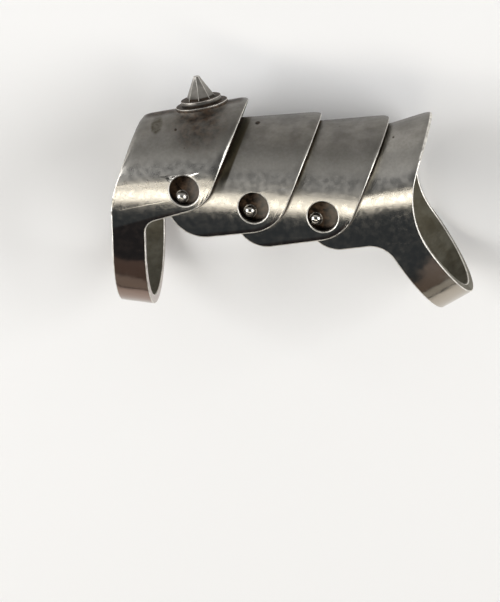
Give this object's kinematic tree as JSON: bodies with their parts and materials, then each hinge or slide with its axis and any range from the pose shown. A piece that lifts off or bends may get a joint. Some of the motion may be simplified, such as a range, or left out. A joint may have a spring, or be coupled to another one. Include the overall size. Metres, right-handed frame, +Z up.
{
  "type": "articulated finger armor ring",
  "caption": "Articulated finger armor ring in worn polished silver: overlapping saddle plates pivot on ball pins between two finger bands, with a plain spiked stud on the first plate.",
  "frame": {"origin": "middle of the outline box at its lowest level; the ring lies on its far flank, as on a table", "axes": "+X along the finger towards the slanted band, +Y to the back of the finger, +Z up through both flanks and along the pivots"},
  "size_m": [0.0546, 0.036, 0.0226],
  "materials": {
    "silver": "worn, tarnished polished silver"
  },
  "bodies": {
    "plate_1": {"lame_1": "silver"},
    "plate_2": {"lame_2": "silver"},
    "plate_3": {"lame_3": "silver"},
    "plate_4": {"lame_4": "silver"}
  },
  "joints": [
    {"name": "pivot_1", "type": "hinge", "parent": "plate_1", "child": "plate_2", "pos_m": [-0.01638, 0.00165, 0.0113], "axis": [0, 0, 1], "range_deg": [-30, 8]},
    {"name": "pivot_2", "type": "hinge", "parent": "plate_2", "child": "plate_3", "pos_m": [-0.00621, -0.00058, 0.0113], "axis": [0, 0, 1], "range_deg": [-30, 1]},
    {"name": "pivot_3", "type": "hinge", "parent": "plate_3", "child": "plate_4", "pos_m": [0.0037, -0.00168, 0.0113], "axis": [0, 0, 1], "range_deg": [-30, 1]}
  ]
}
